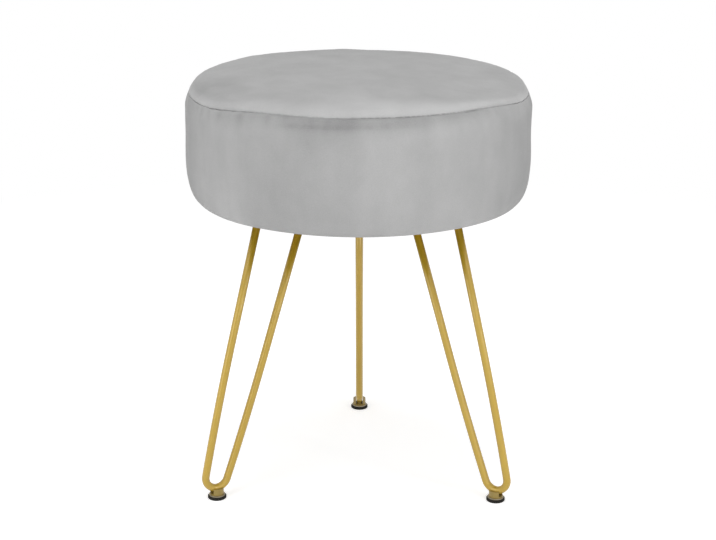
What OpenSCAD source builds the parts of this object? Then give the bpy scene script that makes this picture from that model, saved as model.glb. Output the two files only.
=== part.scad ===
// Round footstool: a velvet drum seat on three bent rod legs with small glides.
// Lengths are in millimetres. The stool stands on z = 0 and its axis is the z axis.
// The legs stand a third of a turn apart. The back leg stands a little to the left of +Y,
// so that the three feet, which reach out past the seat, keep the outline centred on the axis.

/* [Seat] */
// Diameter of the seat over its side
seat_d = 350; // [320:1:400]
// Height of the seat's side, from its underside to the seam
side_h = 116; // [100:1:140]
// Height of the crown above the seam
crown_h = 11; // [4:0.5:20]
// How far the seam lies inside the side
seam_in = 9; // [6:0.5:14]
// Height over which the side rounds over to the seam
shoulder_h = 23; // [18:1:32]
// How far the side is drawn in at the underside
under_in = 13; // [8:0.5:18]
// Height over which the side is drawn in towards the underside
under_h = 47; // [36:1:56]
// Depth of the groove that the seam pulls into the seat
seam_dip = 0.8; // [0.2:0.1:1]

/* [Cover] */
// Thickness of the velvet with its backing
cover_t = 1.6; // [1.2:0.1:2]
// Width of the velvet that is turned under the board
turn_in_w = 25; // [20:1:32]
// Height of the edges that are turned down inside the seam
seam_allow = 7; // [4:0.5:9]
// Diameter of the sewing thread
thread_d = 0.8; // [0.4:0.1:1]
// Thickness of the black dust cover
dust_t = 0.6; // [0.4:0.1:1]
// How far the dust cover laps over the turned-under velvet
dust_lap = 15; // [12:1:18]

/* [Padding] */
// Thickness of the wadding round the side
wadding_t = 6; // [4:0.5:8]
// Thickness of the wadding on the top
wadding_top_t = 12; // [11:0.5:16]
// Thickness of the plywood board
board_t = 15; // [12:1:18]
// Size of the chamfer round the board's edges
board_chamfer = 1.5; // [0.5:0.5:3]

/* [Staples] */
// Number of staples in the velvet's edge
cover_staples_n = 24; // [18:1:30]
// Number of staples in the dust cover's edge
dust_staples_n = 18; // [12:1:30]
// Width of a staple over its legs
staple_w = 10; // [8:0.5:12]
// Length of a staple's legs
staple_h = 8; // [6:0.5:10]
// Thickness of the staple wire
staple_t = 0.6; // [0.4:0.1:0.8]
// Width of the staple wire
staple_wire_w = 1.2; // [0.8:0.1:1.6]

/* [Legs] */
// Height of the top face of the leg plates above the floor
leg_h = 308; // [270:1:360]
// Diameter of the circle that the feet stand on, at their centres
foot_circle_d = 333; // [290:1:350]
// Diameter of the leg rod
rod_d = 8; // [7:0.5:9]
// Radius of the rod's bend at the foot, at the middle of the rod
bend_r = 12.5; // [11:0.5:16]
// Radius of the slight bow of the rod on each side of its bend
bow_r = 3300; // [2500:100:5000]
// Length of the bowed stretch on each side
bow_l = 148; // [100:2:180]
// How much thinner the rod is drawn on each side along its bow
bow_thin = 0.1; // [0.1:0.05:0.2]
// Distance between the two ends of a leg rod, at the middle of the rod
rod_spread = 52.5; // [46:0.5:58]

/* [Leg plates] */
// Thickness of a leg plate
plate_t = 3; // [2:0.5:4]
// Width of a leg plate
plate_w = 42; // [38:1:44]
// How far a leg plate runs on past the middle of each rod
plate_end = 20; // [18:0.5:22]
// Radius of a leg plate's corners
plate_corner_r = 8; // [4:0.5:10]
// How far each screw's middle lies inside the plate's edges
screw_edge = 11; // [9:0.5:12]
// Width of the weld round each rod end
weld_w = 2.2; // [1:0.1:3]
// Height of the weld round each rod end
weld_h = 2.6; // [1:0.1:4]

/* [Screws and tee nuts] */
// Thread diameter of the leg screws
screw_d = 6; // [5:0.5:6]
// Length of a screw under its head
screw_l = 18; // [14:1:19]
// Diameter of a screw's head
head_d = 11; // [10:0.5:12]
// Height of a screw's head
head_h = 3.3; // [2.5:0.1:4]
// Width across the flats of the key recess
key_w = 4; // [3:0.5:4]
// Depth of the key recess
key_depth = 2; // [1:0.1:2.4]
// Diameter of a washer
washer_d = 12; // [11:0.5:12.5]
// Thickness of a washer
washer_t = 1.2; // [0.8:0.1:1.6]
// Diameter of a tee nut's flange
flange_d = 19; // [16:0.5:20]
// Thickness of a tee nut's flange
flange_t = 1.2; // [0.8:0.1:1.6]
// Wall of a tee nut's barrel
barrel_wall = 0.9; // [0.7:0.1:1.2]
// Height of a tee nut's barrel under its flange
barrel_h = 9; // [7:0.5:10]
// Length of a tee nut's prongs
prong_h = 5; // [3:0.5:7]
// Width of a tee nut's prongs
prong_w = 2; // [1:0.5:3]

/* [Feet] */
// Diameter of the black pad
pad_d = 19.2; // [18:0.1:22]
// Thickness of the black pad
pad_t = 3.2; // [2.8:0.1:5]
// Size of the chamfer round the pad's edges
pad_chamfer = 0.5; // [0.2:0.1:1]
// Diameter of the steel disc on the pad
disc_d = 16.8; // [15.2:0.1:18]
// Thickness of the steel disc
disc_t = 1.2; // [0.8:0.1:2]
// Diameter of the slotted cradle under the rod
cradle_d = 14.2; // [12:0.1:15]
// Thickness of the cradle's floor
cradle_floor = 1.2; // [0.8:0.1:2]
// Diameter of the rivet's shank
rivet_d = 4; // [3:0.5:5]
// Diameter of the rivet's head
rivet_head_d = 7; // [6:0.5:7]
// Height of the rivet's head
rivet_head_h = 1.6; // [0.5:0.1:2]
// How deep the rivet reaches into the pad
rivet_in_pad = 1.6; // [1:0.1:2]

/* [Hidden] */
round_steps = 96;
$fn = round_steps;

// Turn of each leg round the stool's axis, from +X
back_turn = 105;
left_turn = back_turn + 120;
right_turn = left_turn + 120;
leg_turns = [back_turn, left_turn, right_turn];

// Colours of the materials
velvet = [0.70, 0.70, 0.72];
gold = [0.76, 0.63, 0.33];
steel = [0.66, 0.63, 0.56];
zinc = [0.75, 0.76, 0.78];
black = [0.09, 0.09, 0.09];
white_fibre = [0.93, 0.93, 0.91];
foam_yellow = [0.90, 0.86, 0.70];
plywood = [0.76, 0.61, 0.42];

// Room between soft layers and between parts that pass through each other
soft_gap = 0.2;
// Room between hard parts that lie beside each other
fit_gap = 0.1;
// Room round a screw in its plain holes
screw_room = 0.3;
// How far a cut runs on past the face that it opens
overrun = 1;

// Heights, from the floor up
disc_z = pad_t;
cradle_z = disc_z + disc_t;
slot_z = cradle_z + cradle_floor;
rod_low_z = slot_z + rivet_head_h + fit_gap + rod_d / 2;
bend_z = rod_low_z + bend_r;
plate_z = leg_h - plate_t;
board_z = leg_h + dust_t;
board_top_z = board_z + board_t;
seat_z = board_z - cover_t;
seam_z = seat_z + side_h;
shoulder_z = seam_z - shoulder_h;

// Radii of the seat's layers
seat_r = seat_d / 2;
seam_r = seat_r - seam_in;
foam_in = cover_t + wadding_t + 2 * soft_gap;
foam_down = cover_t + wadding_top_t + 2 * soft_gap;
board_r = seat_r - cover_t - under_in - soft_gap;
turn_in_r = seat_r - under_in - turn_in_w;
dust_r = turn_in_r + dust_lap;
cover_staple_r = turn_in_r + dust_lap / 3;
dust_staple_r = dust_r - dust_lap / 4;
slope_w = dust_lap / 5;
lap_z = seat_z - staple_t;
thread_r = seam_r - soft_gap - cover_t - thread_d / 2;
thread_z = seam_z - cover_t - seam_allow / 2;

// Places along a leg plate, out from the stool's axis
plate_room = 2.5;
plate_far_r = turn_in_r - slope_w - plate_room;
rod_far_r = plate_far_r - plate_end;
rod_near_r = rod_far_r - rod_spread;
plate_near_r = rod_near_r - plate_end;
screw_rs = [plate_near_r + screw_edge, plate_far_r - screw_edge];
screw_side = plate_w / 2 - screw_edge;
foot_r = foot_circle_d / 2;

// Screws, washers and tee nuts
head_z = plate_z - washer_t;
barrel_d = screw_d + 2 * fit_gap + 2 * barrel_wall;
flange_z = board_top_z - flange_t;
prong_r = (barrel_d + flange_d) / 4;
prongs_n = 4;
prong_t = flange_t * 2 / 3;

// Shape of the rounded outline: larger is squarer, and 2 is an ellipse
under_square = 2.5;
shoulder_square = 1.4;
crown_power = 3;
// Number of steps in each rounded stretch of the outline
corner_steps = 12;
crown_steps = 14;

// Place on a squared quarter round, as shares of its width and height
function quarter(i, square) =
    let (a = 90 * i / corner_steps)
    [pow(sin(a), 2 / square), pow(cos(a), 2 / square)];

// Half outline of the seat from its underside to its crown, taken in by a layer's thickness
function seat_outline(side_t, top_t, low_t) = concat(
    [[0, seat_z + low_t]],
    [for (i = [0:corner_steps]) let (q = quarter(i, under_square))
        [seat_r - side_t - under_in * (1 - q[0]),
         seat_z + low_t + (under_h - low_t) * (1 - q[1])]],
    [for (i = [0:corner_steps - 1]) let (q = quarter(i, shoulder_square))
        [seat_r - side_t - seam_in * (1 - q[1]),
         shoulder_z + (shoulder_h - top_t) * q[0]]],
    [[seam_r - side_t, seam_z - top_t - seam_dip]],
    [for (i = [1:crown_steps]) let (s = 1 - i / crown_steps)
        [(seam_r - side_t) * s,
         seam_z - top_t + crown_h * (1 - pow(s, crown_power))]]
);

// Places something at each leg in turn
module at_legs() {
    for (turn = leg_turns)
        rotate([0, 0, turn]) children();
}

// Places something at each leg screw
module at_screws() {
    at_legs()
        for (r = screw_rs, side = [-screw_side, screw_side])
            translate([r, side, 0]) children();
}

// A ring of staples with their crowns' undersides at height z and their legs pointing up
module staple_ring(n, r, z, room) {
    for (i = [0:n - 1])
        rotate([0, 0, 360 * (i + 1 / 2) / n])
            translate([r, 0, z]) staple(room);
}

// One staple, or with room round it the pocket that it fills
module staple(room) {
    half = staple_w / 2;
    wire = staple_wire_w / 2 + room;
    translate([-wire, -half - room, -room])
        cube([2 * wire, staple_w + 2 * room, staple_t + 2 * room]);
    for (side = [0, 1])
        mirror([0, side, 0])
            translate([-wire, half - staple_t - room, 0])
                cube([2 * wire, staple_t + 2 * room, staple_t + staple_h + room]);
}

module cover_staple_ring(room) {
    staple_ring(cover_staples_n, cover_staple_r, lap_z, room);
}

module dust_staple_ring(room) {
    staple_ring(dust_staples_n, dust_staple_r, lap_z - dust_t - staple_t, room);
}

// Screw holes through everything between two heights
module screw_holes(z, h, d) {
    at_screws()
        translate([0, 0, z]) cylinder(h = h, d = d);
}

// Turn of the rod along its slight bow, and the distance of its straight lines from the bend's middle
bow_turn = bow_l / bow_r * 180 / PI;
line_off = bow_r - (bow_r - bend_r) * cos(bow_turn);
// Number of steps along the bow
bow_steps = 12;

// Direction square to a rod's straight line, for the rod that ends at radius r under the plate
function line_angle(r, side) =
    let (run = r - foot_r, rise = plate_z - bend_z)
    atan2(rise, run) + side * acos(line_off / norm([run, rise]));

// Straight length of a rod from its bow to its end at radius r under the plate
function straight_l(r) =
    sqrt(pow(r - foot_r, 2) + pow(plate_z - bend_z, 2) - pow(line_off, 2))
    - (bow_r - bend_r) * sin(bow_turn);

near_angle = line_angle(rod_near_r, 1);
far_angle = 360 + line_angle(rod_far_r, -1);
bend_sweep = far_angle - near_angle - 2 * bow_turn;

// One side of a rod above its bend: the slight bow, then the straight length into the plate
module rod_side(d, r) {
    lap = d / 8;
    rotate([0, 0, bow_turn])
        translate([bend_r - bow_r, 0, 0])
            rotate([0, 0, -bow_turn]) {
                rotate_extrude(angle = bow_turn, $fn = bow_steps * 360 / bow_turn)
                    translate([bow_r, 0]) circle(d = d - 2 * bow_thin, $fn = round_steps);
                translate([bow_r, lap, 0])
                    rotate([90, 0, 0]) cylinder(h = straight_l(r) + rod_d + lap, d = d);
            }
}

// A leg's bent rod in the leg's own plane, run on into the plate
module bent_rod(d) {
    lap_turn = atan(d / 8 / bend_r);
    translate([foot_r, 0, bend_z])
        rotate([90, 0, 0]) {
            rotate([0, 0, near_angle + bow_turn - lap_turn])
                rotate_extrude(angle = bend_sweep + 2 * lap_turn)
                    translate([bend_r, 0]) circle(d = d);
            rotate([0, 0, near_angle]) rod_side(d, rod_near_r);
            rotate([0, 0, far_angle]) mirror([0, 1, 0]) rod_side(d, rod_far_r);
        }
}

// A block round both rod ends, between two heights
module rod_ends_block(z, h) {
    translate([plate_near_r, -rod_d, z])
        cube([plate_far_r - plate_near_r, 2 * rod_d, h]);
}

// The top panel: crowned, and turned down inside the seam
module top_cover() {
    edge_r = seam_r - soft_gap / 2;
    color(velvet)
        rotate_extrude() {
            intersection() {
                difference() {
                    polygon(seat_outline(0, 0, 0));
                    polygon(seat_outline(cover_t, cover_t, cover_t));
                }
                translate([0, shoulder_z]) square([edge_r, shoulder_h + crown_h + overrun]);
            }
            translate([edge_r - cover_t, seam_z - cover_t - seam_allow])
                square([cover_t, seam_allow + cover_t / 2 - seam_dip]);
        }
}

// The side band: turned down inside the seam, drawn in below and turned under the board
module side_cover() {
    edge_r = seam_r + soft_gap / 2;
    color(velvet)
        difference() {
            rotate_extrude() {
                difference() {
                    polygon(seat_outline(0, 0, 0));
                    polygon(seat_outline(cover_t, cover_t, cover_t));
                    translate([0, shoulder_z]) square([edge_r, shoulder_h + crown_h + overrun]);
                    translate([0, seat_z - overrun]) square([turn_in_r, cover_t + 2 * overrun]);
                }
                translate([edge_r, seam_z - cover_t - seam_allow])
                    square([cover_t, seam_allow + cover_t / 2 - seam_dip]);
            }
            cover_staple_ring(fit_gap);
            dust_staple_ring(fit_gap);
        }
}

// The seam's line of thread, inside the two turned-down edges
module seam_thread() {
    color(velvet)
        rotate_extrude()
            translate([thread_r, thread_z]) circle(d = thread_d, $fn = 24);
}

// Wadding over the foam's top and side, cut out for the seam's edges
module wadding() {
    notch_z = seam_z - cover_t - seam_allow - soft_gap;
    notch_near = thread_r - thread_d / 2 - soft_gap;
    notch_far = seam_r + cover_t + 2 * soft_gap;
    skin = cover_t + soft_gap;
    color(white_fibre)
        rotate_extrude()
            difference() {
                polygon(seat_outline(skin, skin, skin));
                polygon(seat_outline(foam_in - soft_gap, foam_down - soft_gap, skin));
                translate([0, seat_z])
                    square([board_r + soft_gap, cover_t + board_t + soft_gap]);
                translate([notch_near, notch_z])
                    square([notch_far - notch_near, seam_allow + cover_t + soft_gap + overrun]);
            }
}

// The foam block on the board, with the seat's crown and rounded edges
module foam_pad() {
    foam_z = board_top_z + soft_gap;
    color(foam_yellow)
        rotate_extrude()
            intersection() {
                polygon(seat_outline(foam_in, foam_down, foam_in));
                translate([0, foam_z]) square([seat_r, side_h + crown_h]);
            }
}

// A tee nut's prongs, or with room round them the pockets that they press
module prongs(room) {
    for (i = [0:prongs_n - 1])
        rotate([0, 0, 360 * i / prongs_n])
            translate([prong_r - prong_t / 2 - room, -prong_w / 2 - room, -prong_h - room])
                cube([prong_t + 2 * room, prong_w + 2 * room, prong_h + 2 * room]);
}

// The round plywood board
module seat_board() {
    color(plywood)
        difference() {
            rotate_extrude()
                polygon([
                    [0, board_z],
                    [board_r - board_chamfer, board_z],
                    [board_r, board_z + board_chamfer],
                    [board_r, board_top_z - board_chamfer],
                    [board_r - board_chamfer, board_top_z],
                    [0, board_top_z]
                ]);
            screw_holes(board_z - overrun, board_t + 2 * overrun, barrel_d + 2 * fit_gap);
            screw_holes(flange_z, flange_t + overrun, flange_d + 2 * fit_gap);
            at_screws() translate([0, 0, flange_z]) prongs(fit_gap);
            cover_staple_ring(fit_gap);
            dust_staple_ring(fit_gap);
        }
}

// The tee nuts let into the top of the board
module tee_nuts() {
    color(zinc)
        at_screws()
            translate([0, 0, flange_z])
                difference() {
                    union() {
                        cylinder(h = flange_t, d = flange_d);
                        translate([0, 0, -barrel_h])
                            cylinder(h = barrel_h + flange_t / 2, d = barrel_d);
                        translate([0, 0, flange_t / 2]) prongs(0);
                    }
                    translate([0, 0, -barrel_h - overrun])
                        cylinder(h = barrel_h + flange_t + 2 * overrun, d = screw_d + 2 * fit_gap);
                }
}

// Staples that hold the velvet's edge to the board
module cover_staples() {
    color(zinc)
        cover_staple_ring(0);
}

// The black cloth under the board, which laps over the velvet's stapled edge
module dust_cover() {
    flat_r = turn_in_r - slope_w;
    step_r = turn_in_r - soft_gap;
    color(black)
        difference() {
            rotate_extrude()
                polygon([
                    [0, board_z - dust_t],
                    [flat_r, board_z - dust_t],
                    [step_r - dust_t, lap_z - dust_t],
                    [dust_r, lap_z - dust_t],
                    [dust_r, lap_z],
                    [step_r - dust_t / 2, lap_z],
                    [flat_r + dust_t / 2, board_z],
                    [0, board_z]
                ]);
            screw_holes(board_z - dust_t - overrun, dust_t + 2 * overrun, screw_d + 2 * screw_room);
            dust_staple_ring(fit_gap);
        }
}

// Staples that hold the dust cover
module dust_cover_staples() {
    color(zinc)
        dust_staple_ring(0);
}

// One leg: a rod bent at the foot, with both ends cut flat under the leg plate
module leg_rod(turn) {
    color(gold)
        rotate([0, 0, turn])
            difference() {
                bent_rod(rod_d);
                rod_ends_block(plate_z, 2 * rod_d);
            }
}

// A plate's outline, with rounded corners
module plate_outline() {
    long = plate_far_r - plate_near_r;
    translate([plate_near_r, -plate_w / 2]) {
        translate([plate_corner_r, 0]) square([long - 2 * plate_corner_r, plate_w]);
        translate([0, plate_corner_r]) square([long, plate_w - 2 * plate_corner_r]);
        for (x = [plate_corner_r, long - plate_corner_r])
            for (y = [plate_corner_r, plate_w - plate_corner_r])
                translate([x, y]) circle(r = plate_corner_r);
    }
}

// One leg plate with its screw holes and the welds round the two rod ends
module leg_plate(turn) {
    color(gold)
        rotate([0, 0, turn])
            difference() {
                union() {
                    translate([0, 0, plate_z]) linear_extrude(height = plate_t) plate_outline();
                    for (r = [rod_far_r, rod_near_r])
                        translate([r, 0, plate_z - weld_h])
                            cylinder(h = weld_h + plate_t / 2, d1 = rod_d + weld_w / 2,
                                     d2 = rod_d + 2 * weld_w + weld_w / 2);
                }
                for (r = screw_rs, side = [-screw_side, screw_side])
                    translate([r, side, plate_z - overrun])
                        cylinder(h = plate_t + 2 * overrun, d = screw_d + 2 * screw_room);
                intersection() {
                    bent_rod(rod_d + fit_gap);
                    rod_ends_block(plate_z - 2 * rod_d, 2 * rod_d);
                }
            }
}

// The screws that hold the leg plates
module leg_screws() {
    color(zinc)
        at_screws()
            translate([0, 0, head_z])
                difference() {
                    union() {
                        cylinder(h = screw_l, d = screw_d);
                        translate([0, 0, -head_h]) cylinder(h = head_h, d1 = head_d * 2 / 3, d2 = head_d);
                    }
                    translate([0, 0, -head_h - overrun])
                        cylinder(h = key_depth + overrun, d = key_w / cos(30), $fn = 6);
                }
}

// The washers under the screw heads
module leg_screw_washers() {
    color(zinc)
        at_screws()
            translate([0, 0, head_z])
                difference() {
                    cylinder(h = washer_t, d = washer_d);
                    translate([0, 0, -overrun])
                        cylinder(h = washer_t + 2 * overrun, d = screw_d + 2 * screw_room);
                }
}

// The slotted cradle that the rod's bend is welded into
module foot_cradle(turn) {
    color(gold)
        rotate([0, 0, turn])
            translate([foot_r, 0, 0])
                difference() {
                    translate([0, 0, cradle_z])
                        cylinder(h = rod_low_z - cradle_z, d = cradle_d);
                    translate([-cradle_d, -rod_d / 2 - fit_gap, slot_z])
                        cube([2 * cradle_d, rod_d + 2 * fit_gap, rod_d]);
                    translate([0, 0, cradle_z - overrun])
                        cylinder(h = cradle_floor + 2 * overrun, d = rivet_d + fit_gap);
                }
}

// The steel disc between the pad and the cradle
module foot_disc(turn) {
    color(steel)
        rotate([0, 0, turn])
            translate([foot_r, 0, disc_z])
                difference() {
                    cylinder(h = disc_t, d = disc_d);
                    translate([0, 0, -overrun])
                        cylinder(h = disc_t + 2 * overrun, d = rivet_d + fit_gap);
                }
}

// The black pad that stands on the floor, moulded round the rivet's end
module foot_pad(turn) {
    pad_r = pad_d / 2;
    color(black)
        rotate([0, 0, turn])
            translate([foot_r, 0, 0])
                difference() {
                    rotate_extrude()
                        polygon([
                            [0, 0],
                            [pad_r - pad_chamfer, 0],
                            [pad_r, pad_chamfer],
                            [pad_r, pad_t - pad_chamfer],
                            [pad_r - pad_chamfer, pad_t],
                            [0, pad_t]
                        ]);
                    translate([0, 0, pad_t - rivet_in_pad - fit_gap])
                        cylinder(h = rivet_in_pad + fit_gap + overrun, d = rivet_d + fit_gap);
                }
}

// The rivets that hold pad, disc and cradle together
module foot_rivets() {
    color(zinc)
        at_legs()
            translate([foot_r, 0, pad_t - rivet_in_pad])
                union() {
                    cylinder(h = slot_z - pad_t + rivet_in_pad + rivet_head_h / 2, d = rivet_d);
                    translate([0, 0, slot_z - pad_t + rivet_in_pad])
                        cylinder(h = rivet_head_h, d = rivet_head_d);
                }
}

top_cover();
side_cover();
seam_thread();
wadding();
foam_pad();
seat_board();
tee_nuts();
cover_staples();
dust_cover();
dust_cover_staples();
leg_rod(back_turn);  // leg_rod_back
leg_rod(left_turn);  // leg_rod_left
leg_rod(right_turn);  // leg_rod_right
leg_plate(back_turn);  // leg_plate_back
leg_plate(left_turn);  // leg_plate_left
leg_plate(right_turn);  // leg_plate_right
leg_screws();
leg_screw_washers();
foot_cradle(back_turn);  // foot_cradle_back
foot_cradle(left_turn);  // foot_cradle_left
foot_cradle(right_turn);  // foot_cradle_right
foot_disc(back_turn);  // foot_disc_back
foot_disc(left_turn);  // foot_disc_left
foot_disc(right_turn);  // foot_disc_right
foot_pad(back_turn);  // foot_pad_back
foot_pad(left_turn);  // foot_pad_left
foot_pad(right_turn);  // foot_pad_right
foot_rivets();
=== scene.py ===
"""A round velvet footstool on three bent legs with a brass finish.

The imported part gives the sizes. Here the soft pieces are sewn, filled and stretched over it, the legs
are bent in one smooth line, and every piece gets its finish. Lengths are in metres.
"""

from bisect import bisect
from functools import cache
from math import acos, atan2, cos, degrees, exp, hypot, pi, radians, sin, tau

import bmesh
import bpy
from mathutils import Matrix, Vector, noise
from mathutils.kdtree import KDTree

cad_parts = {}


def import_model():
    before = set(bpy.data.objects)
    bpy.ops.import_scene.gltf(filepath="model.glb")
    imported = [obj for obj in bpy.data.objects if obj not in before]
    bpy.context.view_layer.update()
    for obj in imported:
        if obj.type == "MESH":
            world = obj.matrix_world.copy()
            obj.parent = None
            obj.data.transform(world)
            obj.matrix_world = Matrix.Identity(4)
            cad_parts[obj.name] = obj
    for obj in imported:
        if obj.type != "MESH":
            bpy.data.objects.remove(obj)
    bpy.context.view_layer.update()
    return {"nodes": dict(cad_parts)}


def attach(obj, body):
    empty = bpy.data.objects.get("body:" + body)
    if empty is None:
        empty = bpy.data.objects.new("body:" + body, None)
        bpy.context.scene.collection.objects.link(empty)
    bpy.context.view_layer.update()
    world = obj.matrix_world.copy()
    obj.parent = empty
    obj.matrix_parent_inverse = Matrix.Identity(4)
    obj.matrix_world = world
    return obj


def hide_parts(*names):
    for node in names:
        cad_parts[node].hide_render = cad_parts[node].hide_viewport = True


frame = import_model()
nodes = frame["nodes"]

MM = 0.001

# The camera stands in front of the stool, which is turned a little to the left under it.
CAMERA_TURN = radians(15.74)
CAMERA_BACK = 1.788
CAMERA_HEIGHT = 0.8006
CAMERA_DOWN = 0.3130
CAMERA_ROLL = 0.0034
SENSOR_W = 36.0
CAMERA_LENS = 1802.7 * SENSOR_W / 716

# The seat's outline: its underside, its side, the seam and the crown
SEAT_R = 0.175
SEAT_Z = 0.307
SEAM_Z = 0.423
SEAM_R = 0.166
CROWN_H = 0.011
UNDER_IN = 0.013
UNDER_H = 0.047
SHOULDER_H = 0.023
VELVET_T = 0.0016
TURN_IN_R = 0.137

# The legs
ROD_R = 0.004
BEND_R = 0.0125
BEND_Z = 0.0238
BOW_R = 3.3
BOW_TURN = 0.148 / BOW_R
LINE_OFF = BOW_R - (BOW_R - BEND_R) * cos(BOW_TURN)
FOOT_R = 0.1665
PLATE_Z = 0.305
ROD_NEAR_R = 0.059
ROD_FAR_R = 0.1115
LEG_TURNS = {"back": radians(105), "left": radians(225), "right": radians(345)}

# The front of the stool, which the camera sees
FRONT = CAMERA_TURN - pi / 2


def link(obj):
    bpy.context.scene.collection.objects.link(obj)
    return obj


def finished(name, bm, finish, replaced):
    """Turns a bmesh into a named piece of the stool, which replaces a node of the part."""
    mesh = bpy.data.meshes.new(name)
    bm.to_mesh(mesh)
    bm.free()
    for face in mesh.polygons:
        face.use_smooth = True
    piece = link(bpy.data.objects.new(name, mesh))
    mesh.materials.append(finish)
    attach(piece, "root")
    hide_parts(replaced)
    return piece


# Camera


def set_camera():
    lens = bpy.data.cameras.new("camera")
    lens.sensor_width = SENSOR_W
    lens.sensor_fit = "HORIZONTAL"
    lens.lens = CAMERA_LENS
    camera = link(bpy.data.objects.new("camera", lens))
    camera.matrix_world = (
        Matrix.Rotation(CAMERA_TURN, 4, "Z")
        @ Matrix.Translation((0, -CAMERA_BACK, CAMERA_HEIGHT))
        @ Matrix.Rotation(pi / 2 - CAMERA_DOWN, 4, "X")
        @ Matrix.Rotation(CAMERA_ROLL, 4, "Z")
    )
    bpy.context.scene.camera = camera
    bpy.context.scene.view_settings.view_transform = "Standard"


set_camera()


# Finishes


class Wire:
    """A socket in a finish. Sums on wires add their Math nodes."""

    def __init__(self, finish, socket):
        self.finish = finish
        self.socket = socket

    def sum(self, operation, first, second):
        return self.finish.node("ShaderNodeMath", {"operation": operation}, {0: first, 1: second})

    def __add__(self, other):
        return self.sum("ADD", self, other)

    def __radd__(self, other):
        return self.sum("ADD", other, self)

    def __sub__(self, other):
        return self.sum("SUBTRACT", self, other)

    def __rsub__(self, other):
        return self.sum("SUBTRACT", other, self)

    def __mul__(self, other):
        return self.sum("MULTIPLY", self, other)

    def __rmul__(self, other):
        return self.sum("MULTIPLY", other, self)


class Finish:
    """One finish: a material whose nodes are added one by one."""

    def __init__(self, name, world=None):
        self.material = world or bpy.data.materials.new(name)
        self.material.use_nodes = True
        self.tree = self.material.node_tree
        self.tree.nodes.clear()

    def node(self, kind, settings=None, sockets=None, out=0):
        made = self.tree.nodes.new(kind)
        for setting, value in (settings or {}).items():
            if setting == "stops":
                self.set_stops(made.color_ramp, value)
            else:
                setattr(made, setting, value)
        for socket, value in (sockets or {}).items():
            if isinstance(value, Wire):
                self.tree.links.new(value.socket, made.inputs[socket])
            elif value is not None:
                made.inputs[socket].default_value = value
        return Wire(self, made.outputs[out]) if made.outputs else made

    def set_stops(self, ramp, stops):
        while len(ramp.elements) < len(stops):
            ramp.elements.new(1)
        for element, (place, shade) in zip(ramp.elements, stops):
            element.position = place
            element.color = (shade, shade, shade, 1)

    def place(self, stretch=(1, 1, 1)):
        """Object coordinates, stretched along the axes."""
        coords = self.node("ShaderNodeTexCoord", out="Object")
        return self.node("ShaderNodeMapping", {}, {"Vector": coords, "Scale": stretch})

    def noise(self, scale, detail=2.0, roughness=0.5, stretch=(1, 1, 1)):
        return self.node(
            "ShaderNodeTexNoise",
            {},
            {"Vector": self.place(stretch), "Scale": scale, "Detail": detail, "Roughness": roughness},
        )

    def ramp(self, wire, *stops):
        return self.node("ShaderNodeValToRGB", {"stops": stops}, {"Fac": wire})

    def mix(self, mask, first, second):
        """Colour that goes from first to second as the mask goes from 0 to 1."""
        a, b = (c if isinstance(c, Wire) else (*c, 1) for c in (first, second))
        return self.node("ShaderNodeMix", {"data_type": "RGBA"}, {0: mask, 6: a, 7: b}, out=2)

    def bump(self, height, distance, strength=1.0, under=None):
        sockets = {"Height": height, "Distance": distance, "Strength": strength, "Normal": under}
        return self.node("ShaderNodeBump", {}, sockets)

    def surface(self, **sockets):
        """The surface itself, with constants on its own sockets."""
        named = {name.replace("_", " "): value for name, value in sockets.items()}
        named["IOR"] = named.pop("ior", 1.5)
        named["Specular IOR Level"] = named.pop("gloss", 0.5)
        shader = self.node("ShaderNodeBsdfPrincipled", {}, named)
        self.node("ShaderNodeOutputMaterial", {}, {"Surface": shader})
        return self.material


def velvet_finish():
    """Short grey pile, brushed here and there, with painted shade and painted highlight put into its
    colour by an attribute.
    """
    f = Finish("velvet")
    nap = f.node("ShaderNodeAttribute", {"attribute_name": "nap"}, out="Fac")
    clouds = f.noise(16, 3, 0.6)
    strokes = f.noise(1, 3, 0.55, (34, 34, 8))
    grain = f.noise(1400, 1)
    # The attribute darkens the colour with painted shade under the seam and in creases and tucks, and
    # lightens it with a painted highlight on the rim.
    tone = 0.5 + nap * 0.9 + (clouds - 0.5) * 0.35 + (strokes - 0.5) * 0.25 + (grain - 0.5) * 0.3
    held = f.node("ShaderNodeClamp", {}, {"Value": tone})
    colour = f.mix(held, (0.255, 0.255, 0.255), (0.607, 0.607, 0.607))
    pile = f.bump(grain, 0.00025, 0.5)
    fuzz = f.bump(f.noise(90, 3, 0.6), 0.001, 0.3, pile)
    return f.surface(
        Base_Color=colour, Roughness=0.9, Normal=fuzz, Sheen_Weight=0.15, Sheen_Roughness=0.5,
        gloss=0.15,
    )


def brass_finish(name, low, high, gloss):
    """Satin brass-coloured metal with a faint drawn grain and slightly uneven gloss."""
    f = Finish(name)
    patches = f.noise(45, 3, 0.6)
    drawn = f.noise(1, 2, 0.5, (2600, 2600, 120))
    colour = f.mix(patches, low, high)
    rough = 0.32 + patches * 0.08 + drawn * 0.05
    return f.surface(
        Base_Color=colour, Metallic=0.2, Roughness=rough, Normal=f.bump(drawn, 0.00002, 0.3),
        Coat_Weight=gloss, Coat_Roughness=0.16,
    )


def dull_metal_finish():
    f = Finish("dull_metal")
    patches = f.noise(260, 3, 0.6)
    colour = f.mix(patches, (0.27, 0.235, 0.17), (0.40, 0.35, 0.26))
    rough = 0.38 + patches * 0.12
    worn = f.bump(patches, 0.00003, 0.4)
    return f.surface(Base_Color=colour, Metallic=1.0, Roughness=rough, Normal=worn)


def zinc_finish():
    f = Finish("bright_zinc")
    patches = f.noise(320, 3, 0.6)
    colour = f.mix(patches, (0.46, 0.475, 0.50), (0.60, 0.61, 0.62))
    rough = 0.28 + patches * 0.16
    spangle = f.bump(patches, 0.00003, 0.4)
    return f.surface(Base_Color=colour, Metallic=1.0, Roughness=rough, Normal=spangle)


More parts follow.
